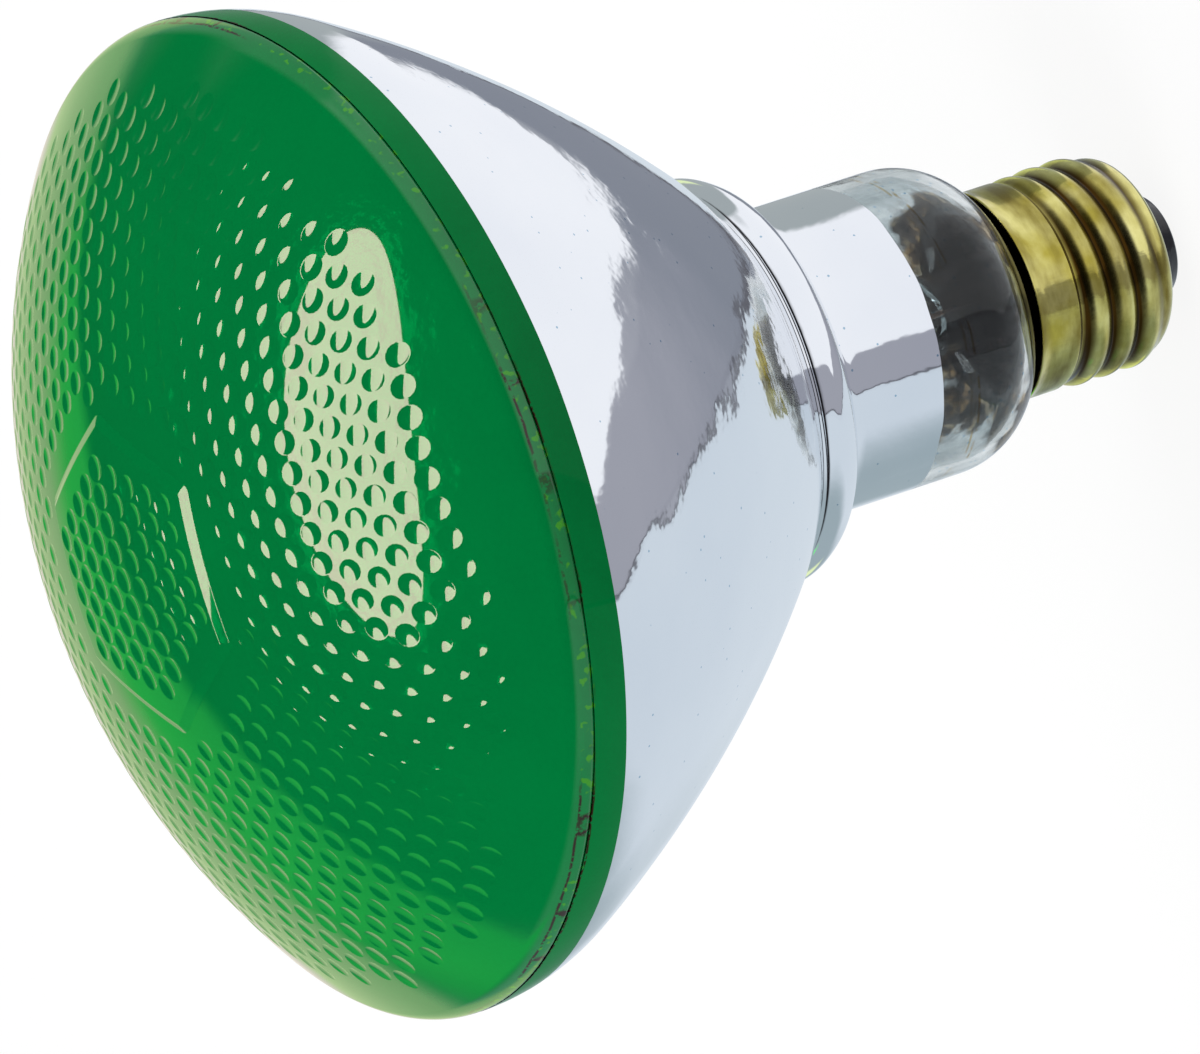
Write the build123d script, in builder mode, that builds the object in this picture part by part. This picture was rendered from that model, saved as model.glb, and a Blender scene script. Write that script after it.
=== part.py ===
import os
from math import asin, atan, degrees, pi, sqrt, tan

from build123d import *

# Reflector flood lamp with a pressed lens and a medium screw base.
# Millimetres. Z is the lamp's axis, up towards the lens, and Z = 0 is the tip of the centre contact.

# Lens
rim_diameter = 120.65
lens_height = 25.2
lens_edge_rise = 2.0
lens_round = 4.0
lens_edge_land = 0.1
lens_wall = 2.8
hexagon_across_corners = 39.0
hexagon_rise = 0.5
hexagon_turn = -6.0

# Reflector bowl, bead and neck, outside sizes
reflector_wall = 1.3
bowl_height = 54.6
rim_roll_drop = 11.0
rim_roll_in = 2.7
bowl_end_rise = 1.2
bowl_end_radius = 26.4
groove_radius = 23.6
bead_radius = 24.9
bead_height = 6.6
bead_middle = 3.4
neck_radius = 18.6
neck_length = 22.0
shoulder_height = 9.5
shoulder_gap = 0.4
seal_clearance = 0.5
seal_depth = 13.1

# Screw shell
shell_bottom_z = 5.0
shell_height = 20.1
brass_wall = 0.25
thread_root_radius = 12.35
thread_depth = 0.75
thread_pitch = 3.629
thread_width = 3.2
thread_start_rise = 3.5
thread_start_angle = 180
thread_end_drop = 1.6
thread_runout_turn = 0.25
skirt_height = 5.5
skirt_step = 0.8
skirt_swell = 0.45
skirt_flare = 0.5
skirt_flare_height = 1.6
end_round = 2.4
lip_width = 1.55

# Insulator and contact
insulator_disc = 1.0
insulator_thickness = 1.9
insulator_end_z = 0.9
insulator_slope = 2.4
insulator_end_round = 1.0
contact_radius = 4.6
contact_thickness = 0.45
eyelet_outer_radius = 1.5
eyelet_inner_radius = 1.0
eyelet_length = 2.4
solder_radius = 3.2
solder_flat_radius = 2.0
solder_plug = 1.6

# Stem, press and exhaust tube
flare_lip = 1.0
flare_height = 14.0
flare_clearance = 0.3
stem_wall = 1.0
stem_radius = 5.0
stem_height = 21.0
press_taper = 5.0
press_height = 8.0
press_width = 12.0
press_thickness = 4.4
press_round = 0.8
exhaust_radius = 2.0
exhaust_wall = 0.8
exhaust_tip_drop = 3.4
exhaust_hole_radius = 0.9
exhaust_hole_rise = 2.2

# Wires
lead_spacing = 6.0
lead_radius = 0.3
dumet_length = 7.0
outer_lead_radius = 0.2
fuse_radius = 0.12
fuse_length = 11.0
lead_bend = 1.2
lead_rise = 4.0
filament_rise = 13.8
filament_length = 19.0
filament_radius = 0.45
clamp_width = 1.7
clamp_length = 1.2
clamp_inset = 0.9
support_spacing = 6.6
support_radius = 0.18
support_root_spacing = 2.4
support_root_depth = 4.0
loop_clearance = 0.03
loop_turn = 330
side_lead_drop = 2.4
side_solder_radius = 1.3

# Cement
cement_foot_gap = 1.5
cement_top_gap = 1.7

# Heights above the tip, worked out from the sizes above
shell_top_z = shell_bottom_z + shell_height
skirt_z = shell_top_z - skirt_height
lip_top_z = shell_bottom_z + brass_wall
seal_z = shell_top_z - seal_depth
shoulder_foot_z = shell_top_z + shoulder_gap
shoulder_top_z = shoulder_foot_z + shoulder_height
bead_foot_z = shoulder_top_z + neck_length
groove_z = bead_foot_z + bead_height
seam_z = groove_z + bowl_height
crown_z = seam_z + lens_height
stem_floor_z = seal_z + stem_height
press_z = stem_floor_z + press_taper
press_top_z = press_z + press_height
filament_z = press_top_z + filament_rise

# Radii worked out from the sizes above
rim_radius = rim_diameter / 2
thread_crest_radius = thread_root_radius + thread_depth
root_inner_radius = thread_root_radius - brass_wall
seal_radius = root_inner_radius - seal_clearance
skirt_radius = thread_root_radius + skirt_swell
skirt_inner_radius = skirt_radius - brass_wall
skirt_edge_radius = skirt_radius + skirt_flare
lip_radius = thread_root_radius - end_round - lip_width
insulator_end_radius = lip_radius - insulator_slope
side_lead_y = (seal_radius + root_inner_radius) / 2
lead_y = lead_spacing / 2

os.makedirs("parts", exist_ok=True)


# Hexagonal patch, pressed as a low raised step on the crown of the lens
lens_edge_z = seam_z + lens_edge_rise
crown_drop = crown_z - lens_edge_z
crown_radius = (rim_radius**2 + crown_drop**2) / (2 * crown_drop)
crown_centre_z = crown_z - crown_radius
hexagon_radius = hexagon_across_corners / 2
patch_reach = hexagon_radius + hexagon_rise
patch_outer = crown_radius + hexagon_rise
patch_inner = crown_radius - lens_wall / 2

with BuildPart() as hexagon_patch:
    with BuildSketch(Plane.XZ):
        with BuildLine():
            outer_edge_z = crown_centre_z + sqrt(patch_outer**2 - patch_reach**2)
            inner_edge_z = crown_centre_z + sqrt(patch_inner**2 - patch_reach**2)
            RadiusArc((0, crown_centre_z + patch_outer), (patch_reach, outer_edge_z), patch_outer)
            Line((patch_reach, outer_edge_z), (patch_reach, inner_edge_z))
            RadiusArc((patch_reach, inner_edge_z), (0, crown_centre_z + patch_inner), -patch_inner)
            Line((0, crown_centre_z + patch_inner), (0, crown_centre_z + patch_outer))
        make_face()
    revolve(axis=Axis.Z)
    with BuildSketch(Plane.XY.offset(seam_z)):
        RegularPolygon(radius=hexagon_radius, side_count=6, rotation=hexagon_turn)
    extrude(amount=2 * lens_height, mode=Mode.INTERSECT)


# Lens: a pressed glass dome of even wall, with a rounded edge that meets the reflector at the seam
edge_turn = pi / 2 - asin(rim_radius / crown_radius)
edge_round = min(lens_round, (lens_edge_rise - lens_edge_land) / tan(edge_turn / 2))

with BuildPart() as lens:
    with BuildSketch(Plane.XZ):
        with BuildLine() as outline:
            RadiusArc((0, crown_z), (rim_radius, lens_edge_z), crown_radius)
            Line((rim_radius, lens_edge_z), (rim_radius, seam_z))
            fillet(outline.vertices().group_by(Axis.X)[-1].sort_by(Axis.Y)[-1], radius=edge_round)
            offset(amount=lens_wall, side=Side.RIGHT)
        make_face()
    revolve(axis=Axis.Z)
    add(hexagon_patch.part)

lens.part.label = "lens"
export_step(lens.part, "parts/lens.step")


# Reflector: blown glass of even wall, from the seam through the bowl, the bead and the neck to the seal
bowl_end_z = groove_z + bowl_end_rise

with BuildPart() as reflector:
    with BuildSketch(Plane.XZ):
        with BuildLine():
            rim_roll = TangentArc(
                (rim_radius, seam_z),
                (rim_radius - rim_roll_in, seam_z - rim_roll_drop),
                tangent=(0, -1),
            )
            bowl = TangentArc(rim_roll @ 1, (bowl_end_radius, bowl_end_z), tangent=rim_roll % 1)
            cove = Line(bowl @ 1, (groove_radius, groove_z))
            bead_point = (bead_radius, bead_foot_z + bead_middle)
            bead = ThreePointArc(cove @ 1, bead_point, (neck_radius, bead_foot_z))
            neck = Line(bead @ 1, (neck_radius, shoulder_top_z))
            shoulder = TangentArc(neck @ 1, (seal_radius, shoulder_foot_z), tangent=(0, -1))
            seal = Line(shoulder @ 1, (seal_radius, seal_z))
            offset(amount=reflector_wall, side=Side.RIGHT)
        make_face()
    revolve(axis=Axis.Z)

reflector.part.label = "reflector"
export_step(reflector.part, "parts/reflector.step")


# Screw shell: thin brass sheet, drawn to a cup and rolled, so that the inside follows the thread
with BuildPart() as screw_shell:
    with BuildSketch(Plane.XZ):
        with BuildLine():
            lip = Line((lip_radius, shell_bottom_z), (thread_root_radius - end_round, shell_bottom_z))
            end = TangentArc(lip @ 1, (thread_root_radius, shell_bottom_z + end_round), tangent=(1, 0))
            body = Line(end @ 1, (thread_root_radius, skirt_z - skirt_step))
            step = Line(body @ 1, (skirt_radius, skirt_z))
            skirt = Line(step @ 1, (skirt_radius, shell_top_z - skirt_flare_height))
            flare = Line(skirt @ 1, (skirt_edge_radius, shell_top_z))
            offset(amount=brass_wall, side=Side.LEFT)
        make_face()
    revolve(axis=Axis.Z)

    # The ridge is added outside, and the same ridge, one wall smaller, is taken out of the inside.
    # It runs on one helix, with a short tapering helix at each end that sinks it into the wall.
    crest_arc = ((thread_width / 2) ** 2 + thread_depth**2) / (2 * thread_depth)
    thread_start_z = shell_bottom_z + thread_start_rise
    thread_end_z = skirt_z - skirt_step - thread_end_drop
    thread_height = thread_end_z - thread_start_z
    thread_end_angle = thread_start_angle + 360 * thread_height / thread_pitch
    runout_height = thread_runout_turn * thread_pitch
    runout_cone = degrees(atan(thread_depth / runout_height))
    ridge_base = thread_root_radius - brass_wall / 2
    hollow_base = root_inner_radius - brass_wall
    for arc, base, mode in (
        (crest_arc, ridge_base, Mode.ADD),
        (crest_arc - brass_wall, hollow_base, Mode.SUBTRACT),
    ):
        for start_z, start_angle, way, height, cone in (
            (thread_start_z, thread_start_angle, 1, thread_height, 0),
            (thread_start_z, thread_start_angle, -1, runout_height, -runout_cone),
            (thread_end_z, thread_end_angle, 1, runout_height, -runout_cone),
        ):
            outward = Vector(1, 0, 0).rotate(Axis.Z, start_angle)
            with BuildLine() as path:
                turn = Helix(
                    thread_pitch,
                    height,
                    thread_root_radius,
                    center=(0, 0, start_z),
                    direction=(0, 0, way),
                    cone_angle=cone,
                    mode=Mode.PRIVATE,
                )
                turn_angle = (turn @ 0 - Vector(0, 0, start_z)).get_signed_angle(outward, Vector(0, 0, 1))
                add(turn.rotate(Axis.Z, turn_angle))
            with BuildSketch(Plane((0, 0, start_z), x_dir=outward, z_dir=outward.rotate(Axis.Z, 90))):
                with Locations((thread_crest_radius - crest_arc, 0)):
                    Circle(arc)
                with Locations((base + crest_arc, 0)):
                    Rectangle(2 * crest_arc, 2 * crest_arc, mode=Mode.INTERSECT)
            sweep(path=path.line, is_frenet=True, mode=mode)
    with BuildSketch(Plane.XY.offset(shell_bottom_z + end_round)):
        Circle(root_inner_radius)
    extrude(amount=shell_height, mode=Mode.SUBTRACT)

screw_shell.part.label = "screw_shell"
export_step(screw_shell.part, "parts/screw_shell.step")


# Insulator: black glass, moulded into the lip of the shell and around the eyelet
with BuildPart() as insulator:
    with BuildSketch(Plane.XZ):
        with BuildLine():
            Polyline(
                (eyelet_outer_radius, insulator_end_z),
                (insulator_end_radius, insulator_end_z),
                (lip_radius, shell_bottom_z),
                (lip_radius, lip_top_z),
                (lip_radius + insulator_disc, lip_top_z),
                (lip_radius + insulator_disc, lip_top_z + insulator_thickness),
                (eyelet_outer_radius, lip_top_z + insulator_thickness),
                close=True,
            )
        make_face()
    revolve(axis=Axis.Z)
    end_edge = insulator.edges().filter_by(GeomType.CIRCLE).group_by(Axis.Z)[0].sort_by(SortBy.RADIUS)[-1]
    fillet(end_edge, radius=insulator_end_round)

insulator.part.label = "insulator"
export_step(insulator.part, "parts/insulator.step")


# Centre contact: a brass eyelet, its disc on the insulator and its tube in the hole
contact_z = insulator_end_z - contact_thickness

with BuildPart() as centre_contact:
    with BuildSketch(Plane.XY.offset(contact_z)):
        Circle(contact_radius)
    extrude(amount=contact_thickness)
    fillet(centre_contact.edges().group_by(Axis.Z)[0], radius=contact_thickness / 3)
    with BuildSketch(Plane.XY.offset(insulator_end_z)):
        Circle(eyelet_outer_radius)
    extrude(amount=eyelet_length)
    with BuildSketch(Plane.XY.offset(contact_z)):
        Circle(eyelet_inner_radius)
    extrude(amount=contact_thickness + eyelet_length, mode=Mode.SUBTRACT)

centre_contact.part.label = "centre_contact"
export_step(centre_contact.part, "parts/centre_contact.step")


# Centre lead: from the press, past the exhaust tip, to the solder in the eyelet
centre_lead_end_z = contact_z + contact_thickness / 2

with BuildPart() as centre_lead:
    with BuildLine() as centre_route:
        FilletPolyline(
            (0, -lead_y, stem_floor_z),
            (0, -lead_y, seal_z - flare_lip / 2),
            (0, 0, lip_top_z),
            (0, 0, centre_lead_end_z),
            radius=lead_bend,
        )
    with BuildSketch(Plane((0, -lead_y, stem_floor_z), z_dir=(0, 0, -1))):
        Circle(outer_lead_radius)
    sweep(path=centre_route.line)

centre_lead.part.label = "centre_lead"
export_step(centre_lead.part, "parts/centre_lead.step")


# Contact solder: the button on the eyelet and the plug inside it, around the end of the lead
with BuildPart() as contact_solder:
    with BuildSketch(Plane.XZ):
        with BuildLine():
            Line((0, 0), (solder_flat_radius, 0))
            TangentArc((solder_flat_radius, 0), (solder_radius, contact_z), tangent=(1, 0))
            Polyline(
                (solder_radius, contact_z),
                (eyelet_inner_radius, contact_z),
                (eyelet_inner_radius, contact_z + solder_plug),
                (0, contact_z + solder_plug),
                (0, 0),
            )
        make_face()
    revolve(axis=Axis.Z)
    add(centre_lead.part, mode=Mode.SUBTRACT)

contact_solder.part.label = "contact_solder"
export_step(contact_solder.part, "parts/contact_solder.step")


# Exhaust tube: drawn glass, open into the press and tipped off to a round end in the base
with BuildPart() as exhaust_tube:
    with BuildSketch(Plane.XZ):
        with BuildLine():
            exhaust_tip_z = seal_z - exhaust_tip_drop
            outer_turn_z = exhaust_tip_z + exhaust_radius
            Line((exhaust_radius - exhaust_wall, stem_floor_z), (exhaust_radius, stem_floor_z))
            Line((exhaust_radius, stem_floor_z), (exhaust_radius, outer_turn_z))
            RadiusArc((exhaust_radius, outer_turn_z), (0, exhaust_tip_z), exhaust_radius)
            Line((0, exhaust_tip_z), (0, exhaust_tip_z + exhaust_wall))
            RadiusArc(
                (0, exhaust_tip_z + exhaust_wall),
                (exhaust_radius - exhaust_wall, outer_turn_z),
                -(exhaust_radius - exhaust_wall),
            )
            Line((exhaust_radius - exhaust_wall, outer_turn_z), (exhaust_radius - exhaust_wall, stem_floor_z))
        make_face()
    revolve(axis=Axis.Z)

exhaust_tube.part.label = "exhaust_tube"
export_step(exhaust_tube.part, "parts/exhaust_tube.step")


# Stem: a flared glass tube, sealed to the neck at its lip and pinched to a solid press at its top
flare_top_radius = seal_radius - reflector_wall - flare_clearance

with BuildPart() as stem:
    with BuildSketch(Plane.XZ):
        with BuildLine():
            stem_tube_z = seal_z + flare_height
            Line((stem_radius, stem_floor_z), (stem_radius, stem_tube_z))
            TangentArc((stem_radius, stem_tube_z), (flare_top_radius, seal_z), tangent=(0, -1))
            Polyline(
                (flare_top_radius, seal_z),
                (seal_radius, seal_z),
                (seal_radius, seal_z - flare_lip),
                (flare_top_radius - stem_wall, seal_z - flare_lip),
            )
            TangentArc(
                (stem_radius - stem_wall, stem_tube_z),
                (flare_top_radius - stem_wall, seal_z - flare_lip),
                tangent=(0, -1),
            )
            Line((stem_radius - stem_wall, stem_tube_z), (stem_radius - stem_wall, stem_floor_z))
            Line((stem_radius - stem_wall, stem_floor_z), (stem_radius, stem_floor_z))
        make_face()
    revolve(axis=Axis.Z)
    with BuildSketch(Plane.XY.offset(stem_floor_z)):
        Circle(stem_radius)
    with BuildSketch(Plane.XY.offset(press_z)):
        SlotOverall(press_width, press_thickness, rotation=90)
    loft()
    with BuildSketch(Plane.XY.offset(press_z)):
        SlotOverall(press_width, press_thickness, rotation=90)
    extrude(amount=press_top_z - press_z)
    fillet(stem.edges().group_by(Axis.Z)[-1], radius=press_round)

    # Wires are sealed in the press, and a side hole joins the exhaust tube to the bulb
    with BuildSketch(Plane.XY.offset(stem_floor_z)):
        with GridLocations(0, lead_spacing, 1, 2):
            Circle(lead_radius)
    extrude(amount=press_top_z - stem_floor_z, mode=Mode.SUBTRACT)
    with BuildSketch(Plane.XY.offset(press_top_z - support_root_depth)):
        with GridLocations(0, support_root_spacing, 1, 2):
            Circle(support_radius)
    extrude(amount=support_root_depth, mode=Mode.SUBTRACT)
    with BuildSketch(Plane.XY.offset(stem_floor_z)):
        Circle(exhaust_radius - exhaust_wall)
    extrude(amount=exhaust_hole_rise, mode=Mode.SUBTRACT)
    with BuildSketch(Plane.YZ):
        with Locations((0, stem_floor_z + exhaust_hole_rise - exhaust_hole_radius)):
            Circle(exhaust_hole_radius)
    extrude(amount=press_width, mode=Mode.SUBTRACT)

stem.part.label = "stem"
export_step(stem.part, "parts/stem.step")


# Filament: a tungsten coil across the axis at the focus of the bowl, here its outside form
with BuildPart() as filament:
    with BuildSketch(Plane.XZ.offset(-filament_length / 2)):
        with Locations((0, filament_z)):
            Circle(filament_radius)
    extrude(amount=filament_length)

filament.part.label = "filament"
export_step(filament.part, "parts/filament.step")


# Leads and supports, one of each on either side: "left" is towards -Y and "right" towards +Y
dumet_top_z = stem_floor_z + dumet_length
clamp_y = filament_length / 2 - clamp_inset
support_y = support_spacing / 2
loop_radius = filament_radius + loop_clearance + support_radius

for side, name in ((-1, "left"), (1, "right")):

    # Dumet seal: the copper-clad length of the lead, sealed in the press
    with BuildPart() as dumet_seal:
        with BuildSketch(Plane((0, side * lead_y, stem_floor_z))):
            Circle(lead_radius)
        extrude(amount=dumet_top_z - stem_floor_z)
    dumet_seal.part.label = "dumet_seal_" + name
    export_step(dumet_seal.part, "parts/dumet_seal_" + name + ".step")

    # Inner lead: stiff plated wire, its end pinched into a clamp on the filament
    with BuildPart() as inner_lead:
        with BuildLine() as lead_route:
            FilletPolyline(
                (0, side * lead_y, dumet_top_z),
                (0, side * lead_y, press_top_z + lead_rise),
                (0, side * clamp_y, filament_z - lead_rise),
                (0, side * clamp_y, filament_z),
                radius=lead_bend,
            )
        with BuildSketch(Plane((0, side * lead_y, dumet_top_z))):
            Circle(lead_radius)
        sweep(path=lead_route.line)
        with BuildSketch(Plane.XZ.offset(-side * clamp_y - clamp_length / 2)):
            with Locations((0, filament_z)):
                RectangleRounded(clamp_width, clamp_width, clamp_width / 4)
        extrude(amount=clamp_length)
        add(filament.part, mode=Mode.SUBTRACT)
    inner_lead.part.label = "inner_lead_" + name
    export_step(inner_lead.part, "parts/inner_lead_" + name + ".step")

    # Support wire: fine wire set in the top of the press, its end curled round the filament
    with BuildPart() as support_wire:
        with BuildLine() as support_route:
            FilletPolyline(
                (0, side * support_root_spacing / 2, press_top_z - support_root_depth),
                (0, side * support_root_spacing / 2, press_top_z + lead_rise / 2),
                (0, side * support_y, filament_z - lead_rise),
                (0, side * support_y, filament_z - loop_radius),
                radius=lead_bend,
            )
        with BuildSketch(Plane((0, side * support_root_spacing / 2, press_top_z - support_root_depth))):
            Circle(support_radius)
        sweep(path=support_route.line)
        with BuildSketch(Plane.YZ):
            with Locations((side * support_y, filament_z - loop_radius)):
                Circle(support_radius)
        revolve(axis=Axis((0, 0, filament_z), (0, 1, 0)), revolution_arc=loop_turn)
    support_wire.part.label = "support_wire_" + name
    export_step(support_wire.part, "parts/support_wire_" + name + ".step")


# Fuse link: fine wire between the press and the side lead
fuse_bottom_z = stem_floor_z - fuse_length

with BuildPart() as fuse_link:
    with BuildSketch(Plane((0, lead_y, fuse_bottom_z))):
        Circle(fuse_radius)
    extrude(amount=stem_floor_z - fuse_bottom_z)

fuse_link.part.label = "fuse_link"
export_step(fuse_link.part, "parts/fuse_link.step")


# Side lead: under the flare, up between the neck and the shell, and over the shell's edge
side_lead_turn_z = seal_z - side_lead_drop

with BuildPart() as side_lead:
    with BuildLine() as side_route:
        FilletPolyline(
            (0, lead_y, fuse_bottom_z),
            (0, lead_y, side_lead_turn_z),
            (0, side_lead_y, side_lead_turn_z),
            (0, side_lead_y, shell_top_z - outer_lead_radius),
            (0, skirt_edge_radius + outer_lead_radius, shell_top_z + 3 * outer_lead_radius),
            (0, skirt_edge_radius + 3 * outer_lead_radius, shell_top_z - 3 * outer_lead_radius),
            radius=[lead_bend, lead_bend, 2 * outer_lead_radius, 2 * outer_lead_radius],
        )
    with BuildSketch(Plane((0, lead_y, fuse_bottom_z), z_dir=(0, 0, -1))):
        Circle(outer_lead_radius)
    sweep(path=side_route.line)

side_lead.part.label = "side_lead"
export_step(side_lead.part, "parts/side_lead.step")


# Side solder: the dab that joins the side lead to the edge of the shell
with BuildPart() as side_solder:
    with Locations((0, skirt_edge_radius + brass_wall, shell_top_z - 2 * brass_wall)):
        Sphere(side_solder_radius)
    add(screw_shell.part, mode=Mode.SUBTRACT)
    add(side_lead.part, mode=Mode.SUBTRACT)
    add(reflector.part, mode=Mode.SUBTRACT)

side_solder.part.label = "side_solder"
export_step(side_solder.part, "parts/side_solder.step")


# Basing cement: the ring that holds the neck in the shell, open where the side lead passes
cement_bottom_z = seal_z + cement_foot_gap
cement_top_z = shell_top_z - cement_top_gap

with BuildPart() as basing_cement:
    with BuildSketch(Plane.XZ):
        with BuildLine():
            Polyline(
                (seal_radius, cement_bottom_z),
                (root_inner_radius, cement_bottom_z),
                (root_inner_radius, skirt_z),
                (skirt_inner_radius, skirt_z + skirt_step),
                (skirt_inner_radius, cement_top_z),
                (seal_radius, cement_top_z),
                close=True,
            )
        make_face()
    revolve(axis=Axis.Z)
    add(side_lead.part, mode=Mode.SUBTRACT)

basing_cement.part.label = "basing_cement"
export_step(basing_cement.part, "parts/basing_cement.step")
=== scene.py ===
import math
import random

import bpy
import numpy as np
from mathutils import Matrix, Vector
from mathutils.geometry import delaunay_2d_cdt


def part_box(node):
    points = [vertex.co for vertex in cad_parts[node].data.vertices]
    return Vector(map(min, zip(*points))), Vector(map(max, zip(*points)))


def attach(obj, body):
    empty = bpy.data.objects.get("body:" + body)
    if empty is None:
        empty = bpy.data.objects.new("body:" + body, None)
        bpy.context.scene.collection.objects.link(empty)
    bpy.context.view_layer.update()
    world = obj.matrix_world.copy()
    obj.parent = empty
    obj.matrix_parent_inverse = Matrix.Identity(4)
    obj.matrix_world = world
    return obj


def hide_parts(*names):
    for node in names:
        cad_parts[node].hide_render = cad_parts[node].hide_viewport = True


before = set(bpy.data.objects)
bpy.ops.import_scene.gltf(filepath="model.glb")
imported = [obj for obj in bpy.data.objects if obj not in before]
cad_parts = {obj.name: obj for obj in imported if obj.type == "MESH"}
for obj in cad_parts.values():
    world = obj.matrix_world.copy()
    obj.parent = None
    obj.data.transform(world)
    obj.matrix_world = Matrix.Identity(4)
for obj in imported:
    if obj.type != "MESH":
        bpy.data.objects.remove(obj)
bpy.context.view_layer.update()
mm = 0.001


# Lens: pressed glass with a deep green coat fired on outside. Its dome carries rows of round dimples, and a
# raised hexagon of closer, wider dimples at the crown. The edge is rounded over and fused to the reflector.

rim_radius = 60.325
crown_z = 143.4
lens_edge_z = 120.2
seam_z = 118.2
seam_inset = 0.2
lens_round = 4.0
lens_wall = 2.8
crown_drop = crown_z - lens_edge_z
dome_radius = (rim_radius**2 + crown_drop**2) / (2 * crown_drop)
dome_centre_z = crown_z - dome_radius
dome_turns = 180
inside_crown_angle = math.pi / 2 - 0.002

dimple_pitch = 3.6
dimple_row = 3.118
dimple_radius = 1.4
dimple_sphere = 5.8
dimple_lip = 0.06
dimple_ring_shares = np.array([0.4, 0.7, 0.93])
dimple_turns = 16
zone_radius = 52.0
zone_side_reach = 2.2
border_radius = 56.4

hexagon_radius = 19.5
hexagon_turn = math.radians(-6)
hexagon_corner = 1.6
hexagon_rise = 0.5
hexagon_margin = 1.1
hexagon_apothem = hexagon_radius * math.cos(math.pi / 6)
corner_steps = 6
side_steps = 14
chamfer_width = 1.5
chamfer_slope = hexagon_rise / (chamfer_width * 0.8)
# Up the chamfer: how far in, how high and how steep, each as a share of the whole
chamfer_shape = ((0.0, 0.0, 0.0), (0.14, 0.09, 1.0), (0.86, 0.91, 1.0), (1.0, 1.0, 0.0))
patch_pitch = 3.3
patch_row = 3.2
patch_dimple_radius = 1.58
patch_sphere = 4.4
patch_margin = 0.1

# Heights of the scorched lines at the seam, and of the band between them, in metres as shaders read them
scorch_lines = (0.11862, 0.1203)
scorch_band_foot = (0.1185, 0.1187)
scorch_band_top = (0.1204, 0.1202)
scorch_half_width = (0.00022, 0.00008)


def make_piece(name, points, faces, normals, material):
    """A mesh from points in millimetres, with a smooth normal at each point."""
    mesh = bpy.data.meshes.new(name)
    mesh.from_pydata((np.asarray(points) * mm).tolist(), [], [list(face) for face in faces])
    mesh.update()
    if normals is None:
        mesh.shade_smooth()
    else:
        mesh.normals_split_custom_set_from_vertices(np.asarray(normals).tolist())
    mesh.materials.append(material)
    piece = bpy.data.objects.new(name, mesh)
    bpy.context.scene.collection.objects.link(piece)
    return piece


def ring_faces(first, second, count):
    """Quads between two rings of points that start at these numbers."""
    faces = []
    for step in range(count):
        after = (step + 1) % count
        faces.append((first + step, second + step, second + after, first + after))
    return faces


def evenly_round(count):
    return np.arange(count) * 2 * np.pi / count


def ring_at(radius, height, turns):
    """Points, or directions, at this distance from the axis and this height, one for each turn."""
    return np.stack(np.broadcast_arrays(radius * np.cos(turns), radius * np.sin(turns), height), -1)


def unit(vectors):
    return vectors / np.linalg.norm(vectors, axis=-1, keepdims=True)


def feed(tree, node, values):
    """Sets a node's inputs, each to a plain value or to another node's output."""
    for key, value in values.items():
        if isinstance(value, bpy.types.NodeSocket):
            tree.links.new(value, node.inputs[key])
        else:
            node.inputs[key].default_value = value


def place(tree, kind, values=None, **settings):
    """One shader node, with its settings and its inputs."""
    node = tree.nodes.new("ShaderNode" + kind)
    for key, value in settings.items():
        setattr(node, key, value)
    feed(tree, node, values or {})
    return node


def object_point(tree):
    return place(tree, "TexCoord").outputs["Object"]


def height_up(tree):
    return place(tree, "SeparateXYZ", {0: object_point(tree)}).outputs["Z"]


def math_node(tree, operation, *values):
    return place(tree, "Math", dict(enumerate(values)), operation=operation).outputs[0]


def noise(tree, scale, detail):
    """Cloudy noise that is fixed to the piece."""
    values = {"Vector": object_point(tree), "Scale": scale, "Detail": detail}
    return place(tree, "TexNoise", values).outputs["Fac"]


def mask(tree, value, off, full, **settings):
    """A mask that is 0 where the value is off, 1 where it is full, and in between on the way."""
    return place(tree, "MapRange", {"Value": value, 1: off, 2: full, 3: 0.0, 4: 1.0}, **settings).outputs[0]


def two_tone(tree, value, low, low_colour, high, high_colour):
    """A colour that changes from one to the other while the value goes from low to high."""
    ramp = place(tree, "ValToRGB", {"Fac": value})
    for stop, position, colour in zip(ramp.color_ramp.elements, (low, high), (low_colour, high_colour)):
        stop.position = position
        stop.color = colour
    return ramp.outputs["Color"]


def mix_colour(tree, factor, first, second):
    return place(tree, "Mix", {"Factor": factor, 6: first, 7: second}, data_type="RGBA").outputs[2]


def new_group(name, inputs, output):
    """An empty shader node group. Returns it, what it is given, and the socket for what it puts out."""
    group = bpy.data.node_groups.new(name, "ShaderNodeTree")
    for key, value in inputs.items():
        group.interface.new_socket(key, in_out="INPUT", socket_type="NodeSocketFloat").default_value = value
    group.interface.new_socket(output, in_out="OUTPUT", socket_type="NodeSocketFloat")
    return group, group.nodes.new("NodeGroupInput").outputs, group.nodes.new("NodeGroupOutput").inputs[output]


def use_group(tree, group, values):
    return place(tree, "Group", values, node_tree=group).outputs[0]


def new_material(name):
    """A material with a bare shader, and its node tree."""
    material = bpy.data.materials.new(name)
    material.use_nodes = True
    return material, material.node_tree, material.node_tree.nodes["Principled BSDF"]


def bumped(tree, height, distance, strength=1.0):
    values = {"Strength": strength, "Distance": distance, "Height": height}
    return place(tree, "Bump", values).outputs["Normal"]


# Slow ripples left in pressed or blown glass, as a height, with finer ones among them.
fine_ripple_ratio = 6.0
ripple, given, result = new_group("glass_ripple", {"Scale": 40.0, "Fine": 0.2}, "Height")
slow = noise(ripple, given["Scale"], 1.0)
quick = noise(ripple, math_node(ripple, "MULTIPLY", given["Scale"], fine_ripple_ratio), 2.0)
quick_part = math_node(ripple, "MULTIPLY", quick, given["Fine"])
ripple.links.new(math_node(ripple, "ADD", slow, quick_part), result)

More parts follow.
